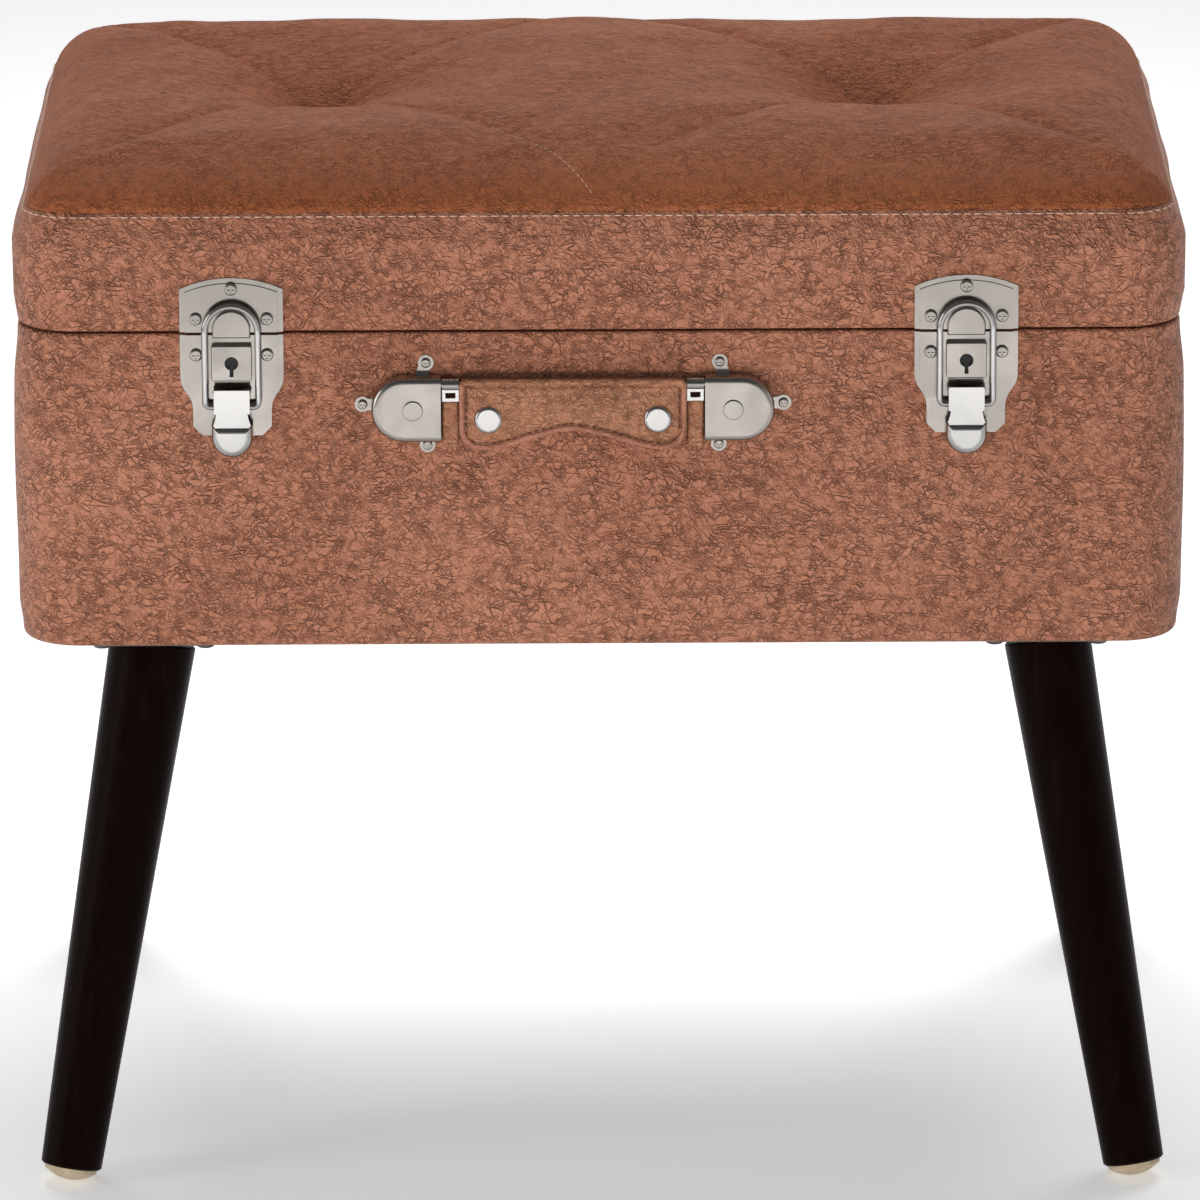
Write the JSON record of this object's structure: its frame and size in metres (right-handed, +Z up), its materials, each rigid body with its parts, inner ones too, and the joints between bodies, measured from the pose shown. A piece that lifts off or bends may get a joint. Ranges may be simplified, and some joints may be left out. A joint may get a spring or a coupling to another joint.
{
  "type": "storage ottoman",
  "caption": "Box stool with a tufted seat lid over a storage box, draw latches, a carry handle and splayed tapered legs.",
  "frame": {"origin": "on the floor under the middle of the box", "axes": "+Z up, -Y out of the front with the latches and the handle, +X along the long side"},
  "size_m": [0.49, 0.3624, 0.45],
  "materials": {
    "leather": "satin grained leather cloth",
    "foam": "soft open-cell foam",
    "board": "raw fibreboard",
    "softwood": "planed softwood",
    "lining_cloth": "plain woven lining",
    "dust_cloth": "black non-woven cloth",
    "dark_wood": "dark stained satin lacquer",
    "zinc_steel": "zinc plated",
    "glide_plastic": "matt",
    "nickel": "nickel plated, satin",
    "polished_nickel": "nickel plated, polished",
    "twine": "waxed thread"
  },
  "bodies": {
    "case": {"case_cover": "leather", "case_padding": "foam", "case_front_panel": "board", "case_rear_panel": "board", "case_left_panel": "board", "case_right_panel": "board", "case_corner_posts": "softwood", "case_bottom_panel": "board", "case_lining": "lining_cloth", "dust_cover": "dust_cloth", "leg_front_left": "dark_wood", "leg_front_right": "dark_wood", "leg_rear_left": "dark_wood", "leg_rear_right": "dark_wood", "leg_plates": "zinc_steel", "leg_plate_screws": "zinc_steel", "hanger_bolts": "zinc_steel", "glides": "glide_plastic", "glide_nails": "zinc_steel", "hinge_case_leaves": "nickel", "hinge_pins": "nickel", "hinge_case_screws": "nickel", "latch_base_left": "nickel", "latch_base_right": "nickel", "lock_boxes": "nickel", "lever_pins": "nickel", "latch_base_screws": "nickel", "handle_cap_left": "nickel", "handle_cap_right": "nickel", "handle_cap_rivets": "nickel", "handle_cap_screws": "nickel", "handle_pivots": "nickel"},
    "lid": {"lid_panel": "board", "lid_front_rail": "board", "lid_rear_rail": "board", "lid_side_rails": "board", "lid_corner_posts": "softwood", "lid_padding": "foam", "lid_cover": "leather", "seat_foam": "foam", "seat_cover": "leather", "tuft_buttons": "leather", "tuft_twines": "twine", "tuft_anchors": "zinc_steel", "lid_lining": "lining_cloth", "hinge_lid_leaves": "nickel", "hinge_lid_screws": "nickel", "catch_plate_left": "nickel", "catch_plate_right": "nickel", "catch_screws": "nickel"},
    "latch_left_lever": {"latch_lever_left": "polished_nickel"},
    "latch_left_bail": {"latch_bail_left": "polished_nickel"},
    "latch_right_lever": {"latch_lever_right": "polished_nickel"},
    "latch_right_bail": {"latch_bail_right": "polished_nickel"},
    "handle": {"handle_grip_back": "leather", "handle_stiffener": "zinc_steel", "handle_grip_front": "leather", "handle_rivets": "polished_nickel", "handle_loops": "polished_nickel", "handle_straps": "leather"}
  },
  "joints": [
    {"name": "lid_hinge", "type": "hinge", "parent": "case", "child": "lid", "pos_m": [0, 0.1602, 0.371], "axis": [-1, 0, 0], "range_deg": [0, 100]},
    {"name": "left_lever_swing", "type": "hinge", "parent": "case", "child": "latch_left_lever", "pos_m": [-0.154, -0.1631, 0.3464], "axis": [-1, 0, 0], "range_deg": [0, 115]},
    {"name": "left_bail_swing", "type": "hinge", "parent": "latch_left_lever", "child": "latch_left_bail", "pos_m": [-0.154, -0.1631, 0.3404], "axis": [-1, 0, 0], "range_deg": [-144, 0]},
    {"name": "right_lever_swing", "type": "hinge", "parent": "case", "child": "latch_right_lever", "pos_m": [0.154, -0.1631, 0.3464], "axis": [-1, 0, 0], "range_deg": [0, 115]},
    {"name": "right_bail_swing", "type": "hinge", "parent": "latch_right_lever", "child": "latch_right_bail", "pos_m": [0.154, -0.1631, 0.3404], "axis": [-1, 0, 0], "range_deg": [-144, 0]},
    {"name": "handle_swing", "type": "hinge", "parent": "case", "child": "handle", "pos_m": [-0.011, -0.1635, 0.3498], "axis": [-1, 0, 0], "range_deg": [0, 115]}
  ],
  "couplings": [
    {"joint": "left_bail_swing", "follows": "left_lever_swing", "ratio": -1.25},
    {"joint": "right_bail_swing", "follows": "right_lever_swing", "ratio": -1.25}
  ]
}
